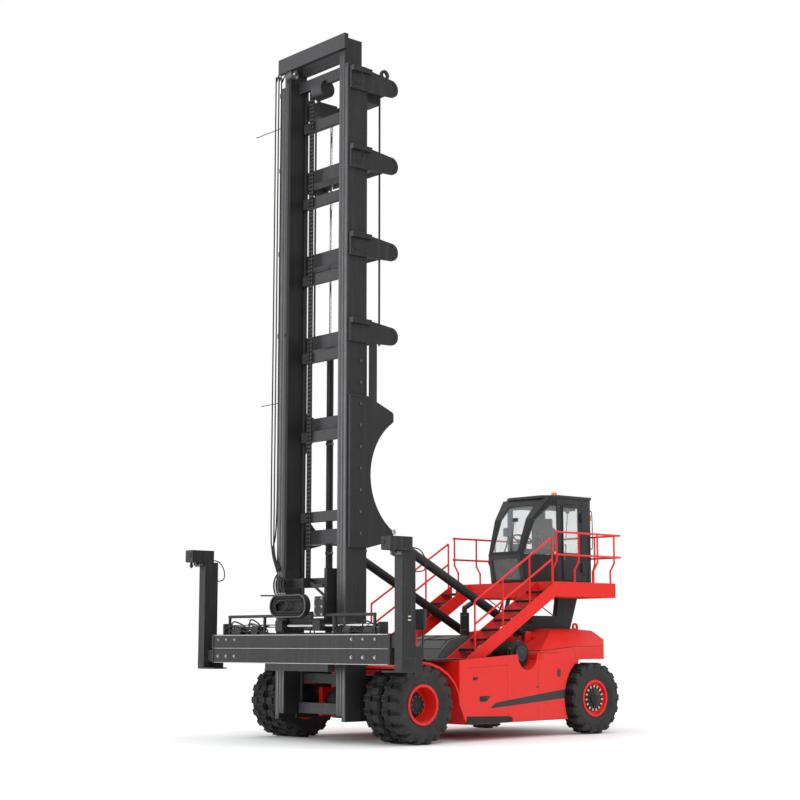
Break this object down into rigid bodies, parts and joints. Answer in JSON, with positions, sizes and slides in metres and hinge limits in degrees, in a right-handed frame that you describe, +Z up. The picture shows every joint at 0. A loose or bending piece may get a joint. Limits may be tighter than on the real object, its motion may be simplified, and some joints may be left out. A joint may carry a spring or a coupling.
{
  "type": "empty container handler",
  "caption": "Lift truck with a tall mast and a side-lift spreader for stacking empty shipping containers.",
  "frame": {"origin": "on the floor under the middle of the machine's box, mast and spreader in transport position", "axes": "+Z up, the machine drives towards -Y, its left side is +X"},
  "size_m": [5.943, 7.553, 12.9],
  "materials": {
    "red_paint": "semi-gloss",
    "dark_paint": "satin",
    "black_paint": "satin",
    "rubber_tread": "matt",
    "bright_rod": "polished",
    "cab_paint": "satin",
    "seat_cloth": "woven",
    "engine_iron": "rough",
    "lamp_lens": "clear",
    "black_plastic": "matt",
    "cab_glass": "clear",
    "chain_steel": "oiled",
    "hose_rubber": "matt"
  },
  "bodies": {
    "chassis": {"drive_axle": "black_paint", "steer_axle": "black_paint", "chassis_frame": "red_paint", "side_bodies": "red_paint", "deck": "black_paint", "rear_hood": "red_paint", "cab_column": "black_paint", "platform": "red_paint", "platform_rails": "red_paint", "stairs": "red_paint", "cab_shell": "cab_paint", "cab_roof": "cab_paint", "seat_cushion": "seat_cloth", "seat_back": "seat_cloth", "cab_fittings": "black_plastic", "engine": "engine_iron", "exhaust_stack": "black_paint", "air_cleaner": "black_paint", "engine_cover": "black_paint", "bay_canister": "engine_iron", "mirrors": "black_plastic", "beacon": "lamp_lens", "grab_rail": "red_paint", "cab_glass": "cab_glass", "lamps": "lamp_lens"},
    "door": {"cab_door": "cab_paint", "door_glass": "cab_glass"},
    "knuckle_left": {"knuckle_left": "black_paint"},
    "knuckle_right": {"knuckle_right": "black_paint"},
    "front_wheels_left": {"front_tyres_left": "rubber_tread", "front_rims_left": "red_paint"},
    "front_wheels_right": {"front_tyres_right": "rubber_tread", "front_rims_right": "red_paint"},
    "rear_wheel_left": {"rear_tyre_left": "rubber_tread", "rear_rim_left": "red_paint"},
    "rear_wheel_right": {"rear_tyre_right": "rubber_tread", "rear_rim_right": "red_paint"},
    "mast": {"outer_mast": "dark_paint", "mast_crossboxes": "dark_paint", "claws": "dark_paint", "hook_plates": "dark_paint", "lift_barrels": "dark_paint", "lift_pipes": "black_paint"},
    "inner_mast": {"inner_mast": "dark_paint", "inner_crossbars": "dark_paint", "lift_rods": "dark_paint", "lift_chains": "chain_steel", "mast_hoses": "hose_rubber"},
    "carriage": {"carriage": "dark_paint", "cable_tray": "dark_paint"},
    "spreader": {"spreader_beam": "dark_paint", "guide_bar": "bright_rod", "spreader_fittings": "bright_rod"},
    "arm_left": {"spreader_arm_left": "dark_paint"},
    "arm_right": {"spreader_arm_right": "dark_paint"},
    "tilt_barrel_left": {"tilt_barrel_left": "dark_paint"},
    "tilt_barrel_right": {"tilt_barrel_right": "dark_paint"},
    "tilt_rod_left": {"tilt_rod_left": "bright_rod"},
    "tilt_rod_right": {"tilt_rod_right": "bright_rod"}
  },
  "joints": [
    {"name": "front_left_spin", "type": "hinge", "parent": "chassis", "child": "front_wheels_left", "pos_m": [1.86, -2.175, 0.68239], "axis": [1, 0, 0], "continuous": true},
    {"name": "front_right_spin", "type": "hinge", "parent": "chassis", "child": "front_wheels_right", "pos_m": [-1.86, -2.175, 0.68239], "axis": [1, 0, 0], "continuous": true},
    {"name": "steer_left", "type": "hinge", "parent": "chassis", "child": "knuckle_left", "pos_m": [1.08, 2.738, 0.68239], "axis": [0, 0, 1], "range_deg": [-60, 60]},
    {"name": "rear_left_spin", "type": "hinge", "parent": "knuckle_left", "child": "rear_wheel_left", "pos_m": [1.45, 2.738, 0.68239], "axis": [1, 0, 0], "continuous": true},
    {"name": "steer_right", "type": "hinge", "parent": "chassis", "child": "knuckle_right", "pos_m": [-1.08, 2.738, 0.68239], "axis": [0, 0, 1], "range_deg": [-60, 60]},
    {"name": "rear_right_spin", "type": "hinge", "parent": "knuckle_right", "child": "rear_wheel_right", "pos_m": [-1.45, 2.738, 0.68239], "axis": [1, 0, 0], "continuous": true},
    {"name": "mast_tilt", "type": "hinge", "parent": "chassis", "child": "mast", "pos_m": [0, -2.175, 0.68239], "axis": [1, 0, 0], "range_deg": [-3, 3]},
    {"name": "inner_lift", "type": "slide", "parent": "mast", "child": "inner_mast", "axis": [0, 0, 1], "range_m": [0, 5.8]},
    {"name": "carriage_lift", "type": "slide", "parent": "inner_mast", "child": "carriage", "axis": [0, 0, 1], "range_m": [0, 5.8]},
    {"name": "side_shift", "type": "slide", "parent": "carriage", "child": "spreader", "axis": [1, 0, 0], "range_m": [-0.3, 0.3]},
    {"name": "arm_left_slide", "type": "slide", "parent": "spreader", "child": "arm_left", "axis": [1, 0, 0], "range_m": [0, 3.066]},
    {"name": "arm_right_slide", "type": "slide", "parent": "spreader", "child": "arm_right", "axis": [-1, 0, 0], "range_m": [0, 3.066]},
    {"name": "door_hinge", "type": "hinge", "parent": "chassis", "child": "door", "pos_m": [0.718, 3.429, 3.73], "axis": [0, 0, 1], "range_deg": [0, 90]},
    {"name": "tilt_barrel_left_pin", "type": "hinge", "parent": "chassis", "child": "tilt_barrel_left", "pos_m": [0.79, 1.645, 1.9], "axis": [1, 0, 0], "range_deg": [-1.2, 1.2]},
    {"name": "tilt_rod_left_slide", "type": "slide", "parent": "tilt_barrel_left", "child": "tilt_rod_left", "axis": [0, -0.8937, 0.4487], "range_m": [-0.15672, 0.15672]},
    {"name": "tilt_barrel_right_pin", "type": "hinge", "parent": "chassis", "child": "tilt_barrel_right", "pos_m": [-0.79, 1.645, 1.9], "axis": [1, 0, 0], "range_deg": [-1.2, 1.2]},
    {"name": "tilt_rod_right_slide", "type": "slide", "parent": "tilt_barrel_right", "child": "tilt_rod_right", "axis": [0, -0.8937, 0.4487], "range_m": [-0.15672, 0.15672]}
  ],
  "couplings": [
    {"joint": "steer_right", "follows": "steer_left", "ratio": 1},
    {"joint": "carriage_lift", "follows": "inner_lift", "ratio": 1},
    {"joint": "arm_right_slide", "follows": "arm_left_slide", "ratio": 1},
    {"joint": "tilt_barrel_left_pin", "follows": "mast_tilt", "ratio": 0.29692},
    {"joint": "tilt_rod_left_slide", "follows": "mast_tilt", "m_per_rad": 2.8021},
    {"joint": "tilt_barrel_right_pin", "follows": "mast_tilt", "ratio": 0.29692},
    {"joint": "tilt_rod_right_slide", "follows": "mast_tilt", "m_per_rad": 2.8021}
  ]
}
